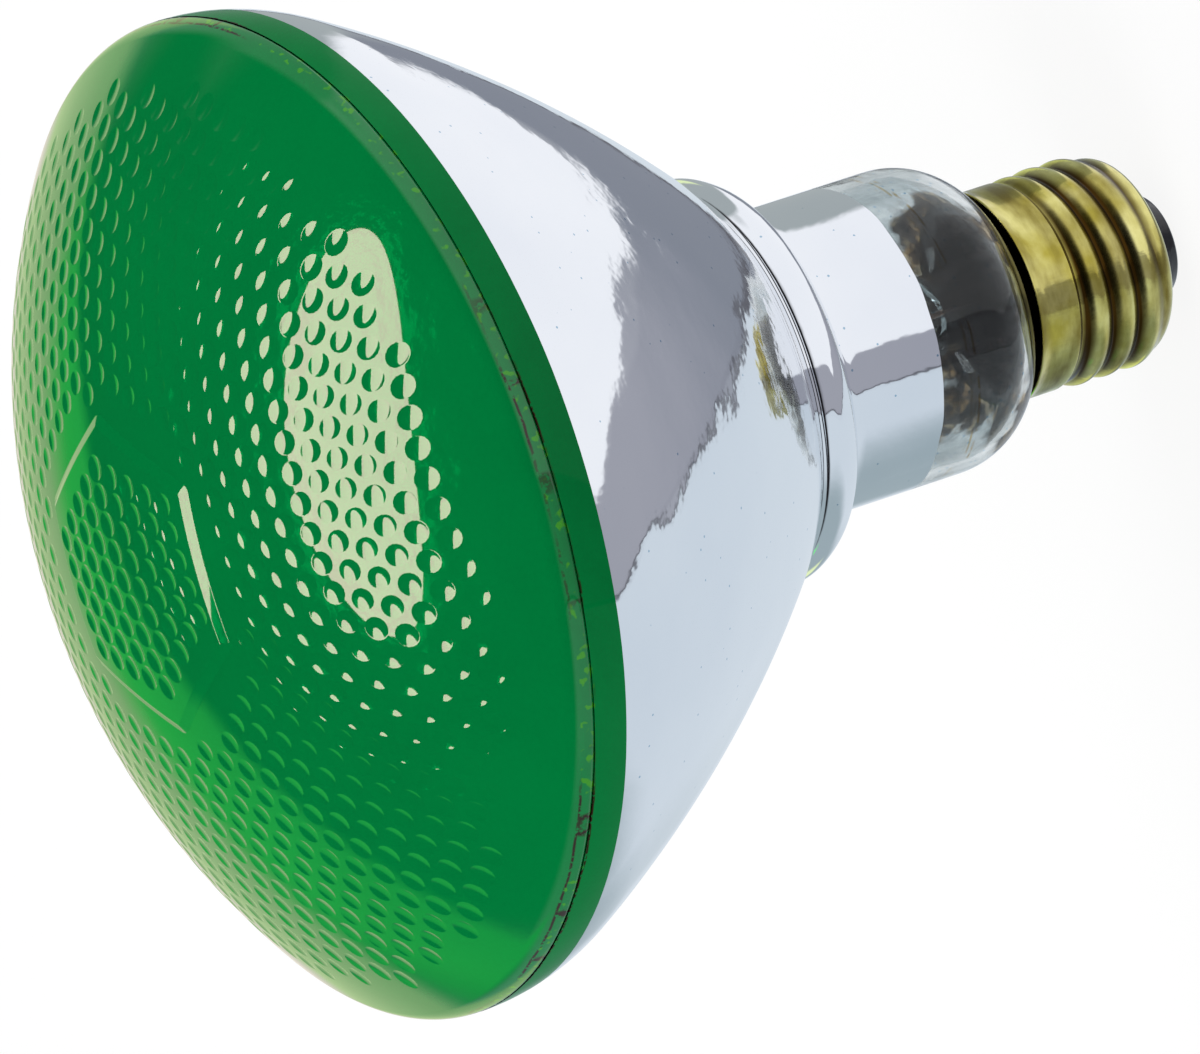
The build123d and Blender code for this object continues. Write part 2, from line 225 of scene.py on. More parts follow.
# Small specks, each in some of the cells of a fine pattern, as a mask.
specks, given, result = new_group("specks", {"Scale": 900.0, "Size": 0.12, "Share": 0.2}, "Mask")
cells = place(specks, "TexVoronoi", {"Vector": object_point(specks), "Scale": given["Scale"]})
near = math_node(specks, "LESS_THAN", cells.outputs["Distance"], given["Size"])
cell_number = place(specks, "SeparateColor", {0: cells.outputs["Color"]}).outputs[0]
chosen = math_node(specks, "LESS_THAN", cell_number, given["Share"])
specks.links.new(math_node(specks, "MULTIPLY", near, chosen), result)


def rippled(tree, scale, fine, distance):
    """The normal of rippled glass."""
    return bumped(tree, use_group(tree, ripple, {"Scale": scale, "Fine": fine}), distance)


def seam_scorch_and_glints(tree, colour):
    """Scorch at the seam, where the two glasses were run together: two thin brown lines joined by rungs, and
    painted glints between them: short ticks of lighter green."""
    height = math_node(tree, "MULTIPLY_ADD", noise(tree, 130.0, 3.0), 0.0009, height_up(tree))
    lines = []
    for line in scorch_lines:
        gap = math_node(tree, "ABSOLUTE", math_node(tree, "SUBTRACT", height, line))
        lines.append(mask(tree, gap, *scorch_half_width))
    above_foot = mask(tree, height, *scorch_band_foot)
    band = math_node(tree, "MULTIPLY", above_foot, mask(tree, height, *scorch_band_top))
    upright = place(tree, "Mapping", {"Vector": object_point(tree), "Scale": (1, 1, 0.1)}).outputs[0]
    cells = place(tree, "TexVoronoi", {"Vector": upright, "Scale": 110.0}, feature="DISTANCE_TO_EDGE")
    rungs = math_node(tree, "MULTIPLY", mask(tree, cells.outputs["Distance"], 0.05, 0.02), band)
    dark = math_node(tree, "MAXIMUM", math_node(tree, "MAXIMUM", *lines), rungs)
    for scale, detail, off, full in ((34.0, 3.0, 0.47, 0.53), (1500.0, 2.0, 0.38, 0.5)):
        dark = math_node(tree, "MULTIPLY", dark, mask(tree, noise(tree, scale, detail), off, full))
    # Painted glints: short ticks of lighter green in the band between the scorched lines
    glint_ticks = math_node(tree, "MULTIPLY", mask(tree, noise(tree, 900.0, 1.0), 0.6, 0.68), band)
    glinted = mix_colour(tree, glint_ticks, colour, (0.04, 0.3, 0.01, 1))
    return mix_colour(tree, dark, glinted, (0.022, 0.008, 0.003, 1))


def lens_coat(name, coat_weight, gloss):
    """The fired green coat, a little cloudy, with the scorch and the painted glints of the seam where it comes
    down to it.
    """
    material, tree, shader = new_material(name)
    cloud = math_node(tree, "MULTIPLY_ADD", noise(tree, 1600.0, 2.0), 0.35, noise(tree, 45.0, 5.0))
    green = two_tone(tree, cloud, 0.45, (0.0, 0.176, 0.039, 1), 0.95, (0.0, 0.202, 0.044, 1))
    feed(tree, shader, {"Base Color": seam_scorch_and_glints(tree, green), "Normal": rippled(tree, 110.0, 0.15, 0.0006)})
    feed(tree, shader, {"Metallic": 0.05, "Roughness": 0.12, "Specular IOR Level": 0.0})
    feed(tree, shader, {"Coat Weight": coat_weight, "Coat Roughness": 0.02, "Coat IOR": gloss})
    return material


def dome_unit(x, y):
    return np.stack([x, y, np.sqrt(dome_radius**2 - x**2 - y**2)], -1) / dome_radius


def hexagon_distance(x, y):
    """How far a point lies outside the hexagon's outline, negative inside it."""
    turns = hexagon_turn + np.pi / 6 + np.arange(6) * np.pi / 3
    reach = np.multiply.outer(x, np.cos(turns)) + np.multiply.outer(y, np.sin(turns))
    return reach.max(-1) - hexagon_apothem


def dimple_centres(pitch, row_gap, reach):
    rows = int(reach / row_gap) + 1
    steps = int(reach / pitch) + 1
    x, y = [], []
    for row in range(-rows, rows + 1):
        for step in range(-steps, steps + 1):
            x.append(pitch * (step + 0.5 * (row % 2)))
            y.append(row_gap * row)
    return np.array(x), np.array(y)


def hexagon_loop(inset):
    """Points round the hexagon with rounded corners, this far inside its outline, and the outward direction
    at each."""
    centre_radius = (hexagon_apothem - hexagon_corner) / math.cos(math.pi / 6)
    radius = hexagon_corner - inset
    points, outward = [], []
    for corner in range(6):
        middle = hexagon_turn + corner * math.pi / 3
        after = middle + math.pi / 3
        turns = middle + np.radians(np.linspace(-30, 30, corner_steps))
        arc_out = np.stack([np.cos(turns), np.sin(turns)], -1)
        arc = centre_radius * np.array([math.cos(middle), math.sin(middle)]) + radius * arc_out
        side_out = np.array([math.cos(middle + math.pi / 6), math.sin(middle + math.pi / 6)])
        next_point = centre_radius * np.array([math.cos(after), math.sin(after)]) + radius * side_out
        steps = np.linspace(0, 1, side_steps)[1:-1, None]
        points += [arc, arc[-1] + (next_point - arc[-1]) * steps]
        outward += [arc_out, np.repeat(side_out[None], len(steps), 0)]
    return np.concatenate(points), np.concatenate(outward)


x, y = dimple_centres(dimple_pitch, dimple_row, zone_radius + zone_side_reach)
keep = np.hypot(x, y) < zone_radius + zone_side_reach * np.cos(np.arctan2(y, x)) ** 2
keep &= hexagon_distance(x, y) > dimple_radius + hexagon_margin
outer_dimples = np.stack([x[keep], y[keep]], -1)

x, y = dimple_centres(patch_pitch, patch_row, hexagon_radius)
keep = hexagon_distance(x, y) < -(patch_dimple_radius + chamfer_width + patch_margin)
patch_dimples = np.stack([x[keep], y[keep]], -1)

# The flat glass between the dimples is laid out in plan. Each point of a plan outline says whose it is: a
# dimple's number, or one of these.
hexagon_foot, hexagon_top, dome_border = -1, -2, -3
lens_points, lens_normals, lens_faces = [], [], []
plan_points, plan_edges, plan_owner = [], [], []


def add_points(x, y, rise, slope_x, slope_y):
    """Adds points on the dome, raised by rise and tilted by a slope given in plan. Returns the number of the
    first."""
    first = sum(len(part) for part in lens_points)
    up = dome_unit(x, y)
    lens_points.append(np.array([0, 0, dome_centre_z]) + up * (dome_radius + rise)[:, None])
    slope = np.stack([slope_x, slope_y, np.zeros_like(x)], -1)
    slope -= up * (slope * up).sum(-1, keepdims=True)
    lens_normals.append(unit(up - slope))
    return first


def add_outline(x, y, first, owner):
    """Adds a closed outline to the plan. Its points are those of the lens from this number on."""
    start, count = len(plan_points), len(x)
    plan_points.extend((a, b, first + step) for step, (a, b) in enumerate(zip(x, y)))
    plan_edges.extend((start + step, start + (step + 1) % count) for step in range(count))
    plan_owner.extend([owner] * count)


around = evenly_round(dimple_turns)
number = 0
for centres, radius, sphere, base in (
    (outer_dimples, dimple_radius, dimple_sphere, 0.0),
    (patch_dimples, patch_dimple_radius, patch_sphere, hexagon_rise),
):
    edge_depth = math.sqrt(sphere**2 - radius**2)
    rings = dimple_ring_shares * radius
    lip = radius + dimple_lip
    for centre_x, centre_y in centres:
        x = [np.array([centre_x])]
        y = [np.array([centre_y])]
        rise = [np.array([base - (sphere - edge_depth)])]
        slope_x, slope_y = [np.zeros(1)], [np.zeros(1)]
        for ring in rings:
            x.append(centre_x + ring * np.cos(around))
            y.append(centre_y + ring * np.sin(around))
            rise.append(np.full(dimple_turns, base - (math.sqrt(sphere**2 - ring**2) - edge_depth)))
            tilt = ring / math.sqrt(sphere**2 - ring**2)
            slope_x.append(tilt * np.cos(around))
            slope_y.append(tilt * np.sin(around))
        x.append(centre_x + lip * np.cos(around))
        y.append(centre_y + lip * np.sin(around))
        rise.append(np.full(dimple_turns, base))
        slope_x.append(np.zeros(dimple_turns))
        slope_y.append(np.zeros(dimple_turns))
        first = add_points(*(np.concatenate(part) for part in (x, y, rise, slope_x, slope_y)))
        for step in range(dimple_turns):
            lens_faces.append((first, first + 1 + step, first + 1 + (step + 1) % dimple_turns))
        for ring in range(len(rings)):
            inner = first + 1 + ring * dimple_turns
            lens_faces += ring_faces(inner, inner + dimple_turns, dimple_turns)
        add_outline(x[-1], y[-1], first + 1 + len(rings) * dimple_turns, number)
        number += 1

# The hexagon's edge is a short chamfer, softened top and bottom
loops = []
for inset, rise_share, slope_share in chamfer_shape:
    loop, outward = hexagon_loop(inset * chamfer_width)
    tilt = -chamfer_slope * slope_share * outward
    rise = np.full(len(loop), rise_share * hexagon_rise)
    loops.append((add_points(loop[:, 0], loop[:, 1], rise, tilt[:, 0], tilt[:, 1]), loop))
for (inner, _), (outer, _) in zip(loops[1:], loops[:-1]):
    lens_faces += ring_faces(inner, outer, len(loops[0][1]))
for owner, (first, loop) in ((hexagon_foot, loops[0]), (hexagon_top, loops[-1])):
    add_outline(loop[:, 0], loop[:, 1], first, owner)

turns = evenly_round(dome_turns)
level = np.zeros(dome_turns)
border_x, border_y = border_radius * np.cos(turns), border_radius * np.sin(turns)
border = add_points(border_x, border_y, level, level, level)
add_outline(border_x, border_y, border, dome_border)

# Triangles that fill a dimple, or that span the chamfer, aren't flat glass and are left out
flats = delaunay_2d_cdt([Vector(point[:2]) for point in plan_points], plan_edges, [], 0, 1e-7)
origin = [sources[0] for sources in flats[3]]
for corners in flats[2]:
    corners = [origin[corner] for corner in corners]
    owners = {plan_owner[corner] for corner in corners}
    fills_dimple = len(owners) == 1 and min(owners) >= 0
    if not fills_dimple and owners != {hexagon_foot, hexagon_top}:
        lens_faces.append([plan_points[corner][2] for corner in corners])

# Outside the dimples: the smooth border, the rounded edge, the seam, and the plain inside. Each row is a
# radius, a height, and the outward and upward parts of the normal there.
fillet_x = rim_radius - lens_round
fillet_z = dome_centre_z + math.sqrt((dome_radius - lens_round) ** 2 - fillet_x**2)
fillet_start = math.atan2(fillet_z - dome_centre_z, fillet_x)
profile = []
for radius in np.linspace(border_radius, dome_radius * math.cos(fillet_start), 5)[1:]:
    height = math.sqrt(dome_radius**2 - radius**2)
    profile.append((radius, dome_centre_z + height, radius / dome_radius, height / dome_radius))
for angle in np.linspace(fillet_start, 0, 11)[1:-1]:
    out, up = math.cos(angle), math.sin(angle)
    profile.append((fillet_x + lens_round * out, fillet_z + lens_round * up, out, up))
profile += [
    (rim_radius - 0.02, seam_z + 0.32, 0.95, -0.31),
    (rim_radius - 0.16, seam_z + 0.1, 0.9, -0.43),
    (rim_radius - seam_inset, seam_z, 1.0, 0.0),
    (rim_radius - seam_inset, seam_z, 0.0, -1.0),
    (rim_radius - lens_wall, seam_z, 0.0, -1.0),
    (rim_radius - lens_wall, seam_z, -1.0, 0.0),
]
inner_dome = dome_radius - lens_wall
for angle in np.linspace(fillet_start, inside_crown_angle, 16):
    out, up = math.cos(angle), math.sin(angle)
    profile.append((inner_dome * out, dome_centre_z + inner_dome * up, -out, -up))
previous = border
for radius, height, out, up in profile:
    first = sum(len(part) for part in lens_points)
    lens_points.append(ring_at(radius, height, turns))
    lens_normals.append(unit(ring_at(out, up, turns)))
    lens_faces += ring_faces(previous, first, dome_turns)
    previous = first

lens_coating = lens_coat("lens_coating", 1.0, 1.5)
lens = make_piece("lens", np.concatenate(lens_points), lens_faces, np.concatenate(lens_normals), lens_coating)
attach(lens, "root")
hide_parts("lens")


# Reflector: blown glass, silvered inside from the green edge down to the middle of the neck, and clear below.
# A bead between two grooves joins the bowl to the neck, and the narrow end is cemented into the shell.

reflector_wall = 1.3
rim_roll = (57.625, 107.2)
bowl_end = (26.4, 64.8)
groove = (23.6, 63.6)
bead_point = (24.9, 60.4)
bead_foot = (18.6, 57.0)
shoulder_top_z = 35.0
shoulder_foot = (11.6, 25.5)
seal_z = 12.0
reflector_turns = 160
outline_steps = 2400

# Blown glass has no sharp bends: how far each is softened along the outline, and most at the foot of the bead
bend_softness = 0.45
end_fade = 2.5
foot_softness = 2.0
foot_reach = 3.2
groove_reach = 1.3
groove_line_depth = 0.05
groove_line_gap = 0.85

# Where the coats end, and how far their edges wander
green_edge_z = 113.7
green_edge_wander = 0.100977
silver_edge_z = 42.6
silver_edge_wander = 0.252441
amber_line_z = 0.0385
clear_glass_ior = 1.36


def tangent_arc(start, heading, end, steps=60):
    """Points of the arc that leaves start along heading and goes to end, and its heading there."""
    start, heading, end = np.array(start), np.array(heading) / np.linalg.norm(heading), np.array(end)
    side = np.array([-heading[1], heading[0]])
    chord = end - start
    radius = chord @ chord / (2 * chord @ side)
    centre = start + side * radius
    first = start - centre
    turn = 2 * math.atan2(chord @ side, chord @ heading)
    angles = np.linspace(0, turn, steps)
    cosine, sine = np.cos(angles), np.sin(angles)
    points = centre + np.stack([first[0] * cosine - first[1] * sine, first[0] * sine + first[1] * cosine], -1)
    cosine, sine = cosine[-1], sine[-1]
    leaving = np.array([heading[0] * cosine - heading[1] * sine, heading[0] * sine + heading[1] * cosine])
    return points, leaving


def three_point_arc(start, middle, end, steps=60):
    (ax, ay), (bx, by), (cx, cy) = start, middle, end
    size = 2 * (ax * (by - cy) + bx * (cy - ay) + cx * (ay - by))
    a, b, c = ax**2 + ay**2, bx**2 + by**2, cx**2 + cy**2
    centre_x = a * (by - cy) + b * (cy - ay) + c * (ay - by)
    centre_y = a * (cx - bx) + b * (ax - cx) + c * (bx - ax)
    centre = np.array([centre_x, centre_y]) / size
    radius = np.hypot(ax - centre[0], ay - centre[1])
    angles = np.unwrap([math.atan2(p[1] - centre[1], p[0] - centre[0]) for p in (start, middle, end)])
    sweep = np.linspace(angles[0], angles[2], steps)
    return centre + radius * np.stack([np.cos(sweep), np.sin(sweep)], -1)


roll, leaving = tangent_arc((rim_radius, seam_z), (0, -1), rim_roll)
bowl, leaving = tangent_arc(rim_roll, leaving, bowl_end, 160)
shoulder, _ = tangent_arc((bead_foot[0], shoulder_top_z), (0, -1), shoulder_foot)
outline = np.concatenate(
    [
        roll,
        bowl[1:],
        np.linspace(bowl_end, groove, 12)[1:],
        three_point_arc(groove, bead_point, bead_foot)[1:],
        np.linspace(bead_foot, (bead_foot[0], shoulder_top_z), 60)[1:],
        shoulder[1:],
        np.linspace(shoulder_foot, (shoulder_foot[0], seal_z), 30)[1:],
    ]
)
along = np.concatenate([[0], np.cumsum(np.hypot(*np.diff(outline, axis=0).T))])
even = np.linspace(0, along[-1], outline_steps)
outline = np.stack([np.interp(even, along, outline[:, 0]), np.interp(even, along, outline[:, 1])], -1)


def softened(softness, reach):
    """The outline with each point averaged over its neighbours, this many each way, the near ones most."""
    weights = np.exp(-0.5 * (np.arange(-reach, reach + 1) * even[1] / softness) ** 2)
    weights /= weights.sum()
    padded = [np.pad(column, reach, "edge") for column in outline.T]
    return np.stack([np.convolve(column, weights, "valid") for column in padded], -1)


def near_height(height, reach):
    return np.exp(-(((outline[:, 1] - height) / reach) ** 4))


ends = np.clip(np.minimum(even, even[-1] - even) / end_fade, 0, 1)[:, None]
outline = outline * (1 - ends) + softened(bend_softness, 60) * ends
at_foot = near_height(bead_foot[1], foot_reach)[:, None]
outline = outline * (1 - at_foot) + softened(foot_softness, 240) * at_foot
ring_lines = 1 - np.cos(even * 2 * np.pi / groove_line_gap)
outline[:, 0] -= groove_line_depth * near_height(groove[1], groove_reach) * ring_lines
heading = unit(np.gradient(outline, axis=0))
outline_normal = np.stack([-heading[:, 1], heading[:, 0]], -1)
reflector_angles = evenly_round(reflector_turns)


def along_at(height):
    """The distance along the outline at which it comes down to this height."""
    return even[np.argmax(outline[:, 1] <= height)]


def turned(name, rows, material):
    """Turns rows of the outline about the axis. Each row is a distance along it, plain or one for each turn,
    and whether it lies on the inside of the wall."""
    points, normals, faces = [], [], []
    for number, (row, inward) in enumerate(rows):
        row = np.broadcast_to(row, reflector_turns)
        radius, height = (np.interp(row, even, column) for column in outline.T)
        out, up = (np.interp(row, even, column) for column in outline_normal.T)
        if inward:
            radius, height = radius - reflector_wall * out, height - reflector_wall * up
            out, up = -out, -up
        points.append(ring_at(radius, height, reflector_angles))
        normals.append(unit(ring_at(out, up, reflector_angles)))
        if number:
            faces += ring_faces((number - 1) * reflector_turns, number * reflector_turns, reflector_turns)
    return make_piece(name, np.concatenate(points), faces, np.concatenate(normals), material)


def uneven(size, seed):
    """A slow uneven wave round the axis, as at the edge of a coat that was run on and wiped."""
    pick = random.Random(seed)
    wave = np.zeros(reflector_turns)
    for count in (2, 3, 5, 8, 13, 21):
        wave += np.sin(count * reflector_angles + pick.uniform(0, 6.3)) / count**0.6 * pick.uniform(0.5, 1)
    return size * wave


green_row = along_at(green_edge_z) + uneven(green_edge_wander, 3)
silver_row = along_at(silver_edge_z) + uneven(silver_edge_wander, 5)
bowl_foot_row = along_at(bowl_end[1] + 1.5)
neck_row = along_at(bead_foot[1] - 2)
shoulder_top_row = along_at(shoulder_top_z)
shoulder_foot_row = along_at(shoulder_foot[1])

mirrored_glass, tree, shader = new_material("mirrored_glass")
silver = two_tone(tree, noise(tree, 30.0, 4.0), 0.3, (0.80, 0.83, 0.87, 1), 0.7, (0.88, 0.90, 0.92, 1))
spots = use_group(tree, specks, {"Scale": 620.0, "Size": 0.1, "Share": 0.3})
spotted = mix_colour(tree, spots, silver, (0.35, 0.5, 0.62, 1))
feed(tree, shader, {"Base Color": spotted, "Normal": rippled(tree, 55.0, 0.05, 0.0007)})
feed(tree, shader, {"Metallic": 1.0, "Roughness": 0.05, "Coat Weight": 0.6, "Coat Roughness": 0.02})

# The clear glass has a thin film drawn out along the neck, blue specks, a broken amber line, and soot below
clear_glass, tree, shader = new_material("clear_glass")
drawn_out = place(tree, "Mapping", {"Vector": object_point(tree), "Scale": (1, 1, 0.3)}).outputs[0]
film = place(tree, "TexNoise", {"Vector": drawn_out, "Scale": 260.0, "Detail": 5.0, "Distortion": 0.6})
film = two_tone(tree, film.outputs["Fac"], 0.38, (0.46, 0.52, 0.54, 1), 0.66, (0.78, 0.83, 0.85, 1))
spots = use_group(tree, specks, {"Scale": 900.0, "Size": 0.15, "Share": 0.3})
spotted = mix_colour(tree, spots, film, (0.1, 0.28, 0.5, 1))
line_z = math_node(tree, "MULTIPLY_ADD", noise(tree, 70.0, 2.0), 0.0016, height_up(tree))
line_gap = math_node(tree, "ABSOLUTE", math_node(tree, "SUBTRACT", line_z, amber_line_z))
broken = mask(tree, noise(tree, 240.0, 3.0), 0.47, 0.53)
amber = math_node(tree, "MULTIPLY", mask(tree, line_gap, 0.00022, 0.0001), broken)
marked = mix_colour(tree, amber, spotted, (0.42, 0.28, 0.1, 1))
soot_z = math_node(tree, "MULTIPLY_ADD", noise(tree, 105.0, 7.0), -0.030, height_up(tree))
soot = two_tone(tree, noise(tree, 520.0, 5.0), 0.5, (0.008, 0.006, 0.005, 1), 0.68, (0.3, 0.2, 0.09, 1))
darkened = mix_colour(tree, mask(tree, soot_z, 0.0152, 0.0132), marked, soot)
feed(tree, shader, {"Base Color": darkened, "Normal": rippled(tree, 60.0, 0.1, 0.0002)})
feed(tree, shader, {"Metallic": 0.0, "Roughness": 0.02, "IOR": clear_glass_ior, "Transmission Weight": 1.0})

edge_coating = lens_coat("edge_coating", 0.5, 1.2)
edge_rows = np.linspace(0, green_row, 9)
green_edge = turned("reflector_green_edge", [(row, False) for row in edge_rows], edge_coating)
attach(green_edge, "root")
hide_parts("reflector")

mirror_rows = list(np.linspace(green_row, bowl_foot_row, 44))
mirror_rows += list(np.linspace(bowl_foot_row, neck_row, 64))[1:]
mirror_rows += list(np.linspace(neck_row, silver_row, 8))[1:]
silvered_rows = [(row, False) for row in mirror_rows]
silvered_rows += [(row, True) for row in mirror_rows[::-1]] + [(0.0, True)]
silvered = turned("reflector_silvered", silvered_rows, mirrored_glass)
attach(silvered, "root")
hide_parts("reflector")

clear_rows = list(np.linspace(silver_row, shoulder_top_row, 8))
clear_rows += list(np.linspace(shoulder_top_row, shoulder_foot_row, 26))[1:]
clear_rows += list(np.linspace(shoulder_foot_row, even[-1], 6))[1:]
neck_rows = [(row, False) for row in clear_rows] + [(row, True) for row in clear_rows[::-1]]
clear_neck = turned("reflector_clear_neck", neck_rows, clear_glass)
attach(clear_neck, "root")
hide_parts("reflector")


# Screw shell: thin brass sheet, drawn to a cup, its thread rolled in so that the inside follows it. The skirt
# flares at its edge, and the open end is turned in over the insulator. Its brass is darkened in patches, as
# tarnish and as painted dark reflections, and in the thread's grooves, as dirt and painted shade.

shell_foot_z = 5.0
shell_top_z = 25.1
brass_wall = 0.25
root_radius = 12.35
thread_depth = 0.75
thread_pitch = 3.629
thread_start_z = 8.5
thread_end_z = 17.2
thread_start_turn = 0.5
thread_runout = 0.3
thread_sharpness = 1.3
skirt_z = 19.6
skirt_step = 0.8
skirt_radius = 12.8
skirt_edge_radius = 13.3
skirt_flare = 1.6
flare_bend = 1.4
end_round = 2.4
lip_radius = 8.4
shell_turns = 200
wall_step = 0.15

# Where dirt and painted shade lie in the thread's grooves, as metres from the axis and up it
dirt_and_shade_radius = (0.01298, 0.01245)
dirt_and_shade_foot = (0.0070, 0.0082)
dirt_and_shade_top = (0.0192, 0.0184)


def eased(share):
    """A share from 0 to 1, slow at both ends."""
    return share * share * (3 - 2 * share)


end_x, end_z = root_radius - end_round, shell_foot_z + end_round
shell_line = [(lip_radius, shell_foot_z)]
for angle in np.radians(np.linspace(-90, 0, 12)):
    shell_line.append((end_x + end_round * math.cos(angle), end_z + end_round * math.sin(angle)))
for height in np.arange(end_z + wall_step, skirt_z - skirt_step, wall_step):
    shell_line.append((root_radius, height))
for share in np.linspace(0, 1, 7):
    step_radius = root_radius + (skirt_radius - root_radius) * eased(share)
    shell_line.append((step_radius, skirt_z - skirt_step + skirt_step * share))
for height in np.linspace(skirt_z, shell_top_z - skirt_flare, 12)[1:]:
    shell_line.append((skirt_radius, height))
for share in np.linspace(0, 1, 7)[1:]:
    flare_radius = skirt_radius + (skirt_edge_radius - skirt_radius) * share**flare_bend
    shell_line.append((flare_radius, shell_top_z - skirt_flare * (1 - share)))
shell_line = np.array(shell_line)

# The thread is a ridge on the wall. Each point has a nearest turn of it and lies a part of the pitch off that,
# and the ridge fades out past its last turns.
shell_angles = evenly_round(shell_turns)
thread_turns = (thread_end_z - thread_start_z) / thread_pitch
grid_turn, grid_height = np.meshgrid(shell_angles / (2 * np.pi) - thread_start_turn, shell_line[:, 1])
nearest = grid_turn + np.round((grid_height - thread_start_z) / thread_pitch - grid_turn)
offset = (grid_height - thread_start_z - thread_pitch * nearest) / thread_pitch
to_end = np.minimum(nearest + thread_runout, thread_turns + thread_runout - nearest)
fade = eased(np.clip(to_end / thread_runout, 0, 1))
ridge = np.cos(np.pi * np.clip(offset, -0.5, 0.5)) ** thread_sharpness
shell_radius = shell_line[:, 0][:, None] + thread_depth * ridge * fade
rows = len(shell_line)
outside = ring_at(shell_radius, grid_height, shell_angles)
round_turn = np.roll(outside, -1, 1) - np.roll(outside, 1, 1)
inside = outside - brass_wall * unit(np.cross(round_turn, np.gradient(outside, axis=0)))
shell_points = np.concatenate([outside.reshape(-1, 3), inside.reshape(-1, 3)])
shell_faces = []
for row in range(rows - 1):
    shell_faces += ring_faces((row + 1) * shell_turns, row * shell_turns, shell_turns)
    shell_faces += ring_faces((rows + row) * shell_turns, (rows + row + 1) * shell_turns, shell_turns)
shell_faces += ring_faces((2 * rows - 1) * shell_turns, (rows - 1) * shell_turns, shell_turns)
shell_faces += ring_faces(0, rows * shell_turns, shell_turns)

# Tarnish on bare metal, in patches or in streaks round the axis, as a mask.
tarnish_values = {"Scale": 120.0, "Low": 0.45, "High": 0.65, "Streak": 6.0}
tarnish, given, result = new_group("tarnish", tarnish_values, "Mask")
squeeze = place(tarnish, "CombineXYZ", {"X": 1.0, "Y": 1.0, "Z": given["Streak"]}).outputs[0]
squeezed = place(tarnish, "VectorMath", {0: object_point(tarnish), 1: squeeze}, operation="MULTIPLY")
patch = {"Vector": squeezed.outputs[0], "Scale": given["Scale"], "Detail": 5.0}
patch = place(tarnish, "TexNoise", patch).outputs["Fac"]
tarnish.links.new(mask(tarnish, patch, given["Low"], given["High"]), result)

shell_brass, tree, shader = new_material("shell_brass")
at_x, at_y, at_z = place(tree, "SeparateXYZ", {0: object_point(tree)}).outputs
square = math_node(tree, "MULTIPLY_ADD", at_y, at_y, math_node(tree, "MULTIPLY", at_x, at_x))
# Dirt and painted shade: the thread's grooves turn near-black brown
sheltered = mask(tree, math_node(tree, "SQRT", square), *dirt_and_shade_radius)
in_thread = math_node(tree, "MULTIPLY", mask(tree, at_z, *dirt_and_shade_foot), mask(tree, at_z, *dirt_and_shade_top))
dirt_and_shade = math_node(tree, "MULTIPLY", sheltered, in_thread)
# Tarnish patches, made dark enough to also paint the thread's dark reflections
patches = use_group(tree, tarnish, {"Scale": 90.0, "Low": 0.42, "High": 0.68, "Streak": 3.0})
gold = two_tone(tree, noise(tree, 140.0, 6.0), 0.35, (0.48, 0.41, 0.07, 1), 0.65, (0.88, 0.82, 0.34, 1))
tarnish_and_painted_reflection = mix_colour(tree, patches, gold, (0.22, 0.17, 0.03, 1))
browned_and_shaded = mix_colour(tree, dirt_and_shade, tarnish_and_painted_reflection, (0.05, 0.025, 0.004, 1))
rough = place(tree, "MapRange", {"Value": patches, 3: 0.12, 4: 0.26}).outputs[0]
fine = use_group(tree, tarnish, {"Scale": 700.0, "Low": 0.3, "High": 0.7, "Streak": 0.15})
feed(tree, shader, {"Base Color": browned_and_shaded, "Roughness": rough, "Normal": bumped(tree, fine, 0.00006, 0.25)})
feed(tree, shader, {"Metallic": 1.0})

shell = make_piece("screw_shell", shell_points, shell_faces, None, shell_brass)
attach(shell, "root")
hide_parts("screw_shell")


# Insulator: black glass, pressed hot into the lip of the shell and round the eyelet of the centre contact.

black_glass, tree, shader = new_material("black_glass")
black = two_tone(tree, noise(tree, 260.0, 4.0), 0.0, (0.001, 0.001, 0.002, 1), 1.0, (0.006, 0.006, 0.009, 1))
feed(tree, shader, {"Base Color": black, "Normal": rippled(tree, 220.0, 0.3, 0.0001)})
feed(tree, shader, {"Roughness": 0.14, "Specular IOR Level": 0.2})


def finish_nodes(material, *names):
    """Gives CAD nodes a material of their own finish."""
    for name in names:
        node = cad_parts[name]
        node.data.materials.clear()
        node.data.materials.append(material)


finish_nodes(black_glass, "insulator")


# Centre contact and solders: a brass eyelet in the insulator, closed by a button of solder round the end of
# the centre lead, and a dab of solder that joins the side lead to the edge of the shell.


def dull_metal(name, scale, bright, dull, roughness, low=0.4, high=0.6):
    """Bare metal that has gone dull in patches of this fineness."""
    material, tree, shader = new_material(name)
    patches = use_group(tree, tarnish, {"Scale": scale, "Low": low, "High": high, "Streak": 1.0})
    feed(tree, shader, {"Base Color": mix_colour(tree, patches, bright, dull)})
    feed(tree, shader, {"Metallic": 1.0, "Roughness": roughness})
    return material, tree, shader


contact_brass, _, _ = dull_metal("contact_brass", 400.0, (0.58, 0.5, 0.2, 1), (0.28, 0.2, 0.07, 1), 0.32)
finish_nodes(contact_brass, "centre_contact")

solder, tree, shader = dull_metal("solder", 500.0, (0.6, 0.6, 0.61, 1), (0.3, 0.3, 0.31, 1), 0.38, 0.35, 0.65)
feed(tree, shader, {"Normal": rippled(tree, 500.0, 0.3, 0.00015)})
finish_nodes(solder, "contact_solder", "side_solder")


# Basing cement: resin cement baked between the neck and the shell, brown and rough.

cement, tree, shader = new_material("cement")
lumps = noise(tree, 300.0, 6.0)
brown = two_tone(tree, lumps, 0.35, (0.015, 0.009, 0.004, 1), 0.7, (0.14, 0.09, 0.035, 1))
feed(tree, shader, {"Base Color": brown, "Roughness": 0.85, "Normal": bumped(tree, lumps, 0.0004, 0.8)})
finish_nodes(cement, "basing_cement")


# Stem and exhaust tube: clear glass, flared and sealed to the neck, pinched round the wires at the top. Smoke
# has darkened the lower part.

